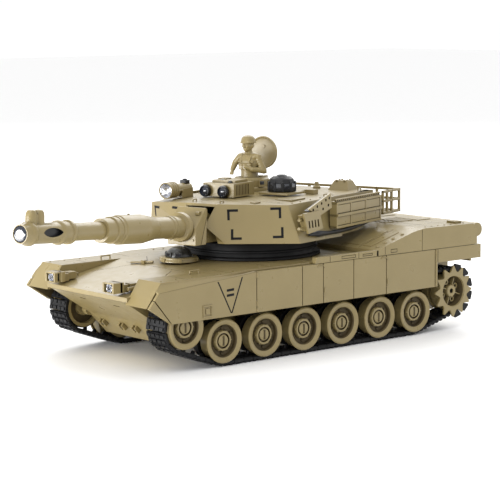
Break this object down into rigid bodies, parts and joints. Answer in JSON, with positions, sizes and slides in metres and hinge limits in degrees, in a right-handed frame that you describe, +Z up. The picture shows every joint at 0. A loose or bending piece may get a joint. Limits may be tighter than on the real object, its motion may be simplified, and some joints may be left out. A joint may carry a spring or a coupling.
{
  "type": "radio-controlled tank model",
  "caption": "Radio-controlled battle tank model with traversing turret, elevating gun, skirted running gear and crew figure.",
  "frame": {"origin": "centre of the whole model's footprint with the turret at rest, on the ground plane under the tracks", "axes": "+X towards the nose of the hull, +Y to the tank's left, +Z up"},
  "size_m": [0.3728, 0.1544, 0.1306],
  "materials": {
    "sand_plastic": "satin moulded sand-coloured plastic",
    "track_rubber": "matt black rubber",
    "gloss_black": "polished black plastic",
    "dark_plastic": "dark moulded plastic",
    "bright_steel": "plain steel",
    "circuit_board": "green laminate",
    "cell_wrap": "shrink-wrapped cells"
  },
  "bodies": {
    "root": {"hull_lower": "sand_plastic", "hull_upper": "sand_plastic", "rear_panel": "sand_plastic", "driver_hatch": "dark_plastic", "turret_ring": "dark_plastic", "skirt_left": "sand_plastic", "headlight_left": "sand_plastic", "skirt_right": "sand_plastic", "headlight_right": "sand_plastic", "track_left": "track_rubber", "track_right": "track_rubber", "battery_pack": "cell_wrap", "circuit_board": "circuit_board", "speaker": "dark_plastic", "gearbox_left": "dark_plastic", "motor_left": "bright_steel", "gearbox_right": "dark_plastic", "motor_right": "bright_steel"},
    "turret": {"turret_shell": "sand_plastic", "turret_base": "dark_plastic", "turret_motor": "bright_steel", "sight_box": "sand_plastic", "sight_lens_left": "gloss_black", "sight_lens_right": "gloss_black", "dome_plinth": "sand_plastic", "receiver_dome": "gloss_black", "cupola": "sand_plastic", "commander_figure": "sand_plastic", "searchlight": "sand_plastic", "bustle_rack": "sand_plastic", "stowage_box_left": "sand_plastic", "stowage_box_right": "sand_plastic", "launcher_left": "sand_plastic", "launcher_right": "sand_plastic"},
    "gun": {"mantlet": "sand_plastic", "gun_barrel": "sand_plastic", "muzzle_emitter": "gloss_black"},
    "commander_hatch": {"commander_hatch": "sand_plastic"},
    "power_switch": {"power_switch": "dark_plastic"},
    "battery_door": {"battery_door": "sand_plastic", "battery_door_screw": "bright_steel"},
    "sprocket_left": {"sprocket_left": "sand_plastic", "drive_axle_left": "bright_steel"},
    "idler_left": {"idler_left": "sand_plastic"},
    "wheel_left_1": {"wheel_left_1": "sand_plastic"},
    "wheel_left_2": {"wheel_left_2": "sand_plastic"},
    "wheel_left_3": {"wheel_left_3": "sand_plastic"},
    "wheel_left_4": {"wheel_left_4": "sand_plastic"},
    "wheel_left_5": {"wheel_left_5": "sand_plastic"},
    "wheel_left_6": {"wheel_left_6": "sand_plastic"},
    "sprocket_right": {"sprocket_right": "sand_plastic", "drive_axle_right": "bright_steel"},
    "idler_right": {"idler_right": "sand_plastic"},
    "wheel_right_1": {"wheel_right_1": "sand_plastic"},
    "wheel_right_2": {"wheel_right_2": "sand_plastic"},
    "wheel_right_3": {"wheel_right_3": "sand_plastic"},
    "wheel_right_4": {"wheel_right_4": "sand_plastic"},
    "wheel_right_5": {"wheel_right_5": "sand_plastic"},
    "wheel_right_6": {"wheel_right_6": "sand_plastic"}
  },
  "joints": [
    {"name": "turret_traverse", "type": "hinge", "parent": "root", "child": "turret", "pos_m": [-0.03443, 0.00488, 0.068], "axis": [0, 0, 1], "range_deg": [-167, 133]},
    {"name": "gun_elevation", "type": "hinge", "parent": "turret", "child": "gun", "pos_m": [0.00382, 0.01658, 0.0788], "axis": [0.2924, -0.9563, 0], "range_deg": [-3, 8]},
    {"name": "commander_hatch_hinge", "type": "hinge", "parent": "turret", "child": "commander_hatch", "pos_m": [-0.07867, -0.03374, 0.1043], "axis": [-0.2924, 0.9563, 0], "range_deg": [-80, 20]},
    {"name": "power_switch_slide", "type": "slide", "parent": "root", "child": "power_switch", "axis": [1, 0, 0], "range_m": [0, 0.003]},
    {"name": "battery_door_release", "type": "slide", "parent": "root", "child": "battery_door", "axis": [0, 0, -1], "range_m": [0, 0.008]},
    {"name": "sprocket_left_spin", "type": "hinge", "parent": "root", "child": "sprocket_left", "pos_m": [-0.15943, 0.05488, 0.0258], "axis": [0, 1, 0], "continuous": true},
    {"name": "idler_left_spin", "type": "hinge", "parent": "root", "child": "idler_left", "pos_m": [0.06637, 0.05488, 0.0269], "axis": [0, 1, 0], "continuous": true},
    {"name": "wheel_left_1_spin", "type": "hinge", "parent": "root", "child": "wheel_left_1", "pos_m": [0.03747, 0.05488, 0.0157], "axis": [0, 1, 0], "continuous": true},
    {"name": "wheel_left_2_spin", "type": "hinge", "parent": "root", "child": "wheel_left_2", "pos_m": [0.00515, 0.05488, 0.0157], "axis": [0, 1, 0], "continuous": true},
    {"name": "wheel_left_3_spin", "type": "hinge", "parent": "root", "child": "wheel_left_3", "pos_m": [-0.02717, 0.05488, 0.0157], "axis": [0, 1, 0], "continuous": true},
    {"name": "wheel_left_4_spin", "type": "hinge", "parent": "root", "child": "wheel_left_4", "pos_m": [-0.05949, 0.05488, 0.0157], "axis": [0, 1, 0], "continuous": true},
    {"name": "wheel_left_5_spin", "type": "hinge", "parent": "root", "child": "wheel_left_5", "pos_m": [-0.09181, 0.05488, 0.0157], "axis": [0, 1, 0], "continuous": true},
    {"name": "wheel_left_6_spin", "type": "hinge", "parent": "root", "child": "wheel_left_6", "pos_m": [-0.12413, 0.05488, 0.0157], "axis": [0, 1, 0], "continuous": true},
    {"name": "sprocket_right_spin", "type": "hinge", "parent": "root", "child": "sprocket_right", "pos_m": [-0.15943, -0.04512, 0.0258], "axis": [0, 1, 0], "continuous": true},
    {"name": "idler_right_spin", "type": "hinge", "parent": "root", "child": "idler_right", "pos_m": [0.06637, -0.04512, 0.0269], "axis": [0, 1, 0], "continuous": true},
    {"name": "wheel_right_1_spin", "type": "hinge", "parent": "root", "child": "wheel_right_1", "pos_m": [0.03747, -0.04512, 0.0157], "axis": [0, 1, 0], "continuous": true},
    {"name": "wheel_right_2_spin", "type": "hinge", "parent": "root", "child": "wheel_right_2", "pos_m": [0.00515, -0.04512, 0.0157], "axis": [0, 1, 0], "continuous": true},
    {"name": "wheel_right_3_spin", "type": "hinge", "parent": "root", "child": "wheel_right_3", "pos_m": [-0.02717, -0.04512, 0.0157], "axis": [0, 1, 0], "continuous": true},
    {"name": "wheel_right_4_spin", "type": "hinge", "parent": "root", "child": "wheel_right_4", "pos_m": [-0.05949, -0.04512, 0.0157], "axis": [0, 1, 0], "continuous": true},
    {"name": "wheel_right_5_spin", "type": "hinge", "parent": "root", "child": "wheel_right_5", "pos_m": [-0.09181, -0.04512, 0.0157], "axis": [0, 1, 0], "continuous": true},
    {"name": "wheel_right_6_spin", "type": "hinge", "parent": "root", "child": "wheel_right_6", "pos_m": [-0.12413, -0.04512, 0.0157], "axis": [0, 1, 0], "continuous": true}
  ],
  "couplings": [
    {"joint": "idler_left_spin", "follows": "sprocket_left_spin", "ratio": 0.9864},
    {"joint": "wheel_left_1_spin", "follows": "sprocket_left_spin", "ratio": 1.0584},
    {"joint": "wheel_left_2_spin", "follows": "sprocket_left_spin", "ratio": 1.0584},
    {"joint": "wheel_left_3_spin", "follows": "sprocket_left_spin", "ratio": 1.0584},
    {"joint": "wheel_left_4_spin", "follows": "sprocket_left_spin", "ratio": 1.0584},
    {"joint": "wheel_left_5_spin", "follows": "sprocket_left_spin", "ratio": 1.0584},
    {"joint": "wheel_left_6_spin", "follows": "sprocket_left_spin", "ratio": 1.0584},
    {"joint": "idler_right_spin", "follows": "sprocket_right_spin", "ratio": 0.9864},
    {"joint": "wheel_right_1_spin", "follows": "sprocket_right_spin", "ratio": 1.0584},
    {"joint": "wheel_right_2_spin", "follows": "sprocket_right_spin", "ratio": 1.0584},
    {"joint": "wheel_right_3_spin", "follows": "sprocket_right_spin", "ratio": 1.0584},
    {"joint": "wheel_right_4_spin", "follows": "sprocket_right_spin", "ratio": 1.0584},
    {"joint": "wheel_right_5_spin", "follows": "sprocket_right_spin", "ratio": 1.0584},
    {"joint": "wheel_right_6_spin", "follows": "sprocket_right_spin", "ratio": 1.0584}
  ]
}
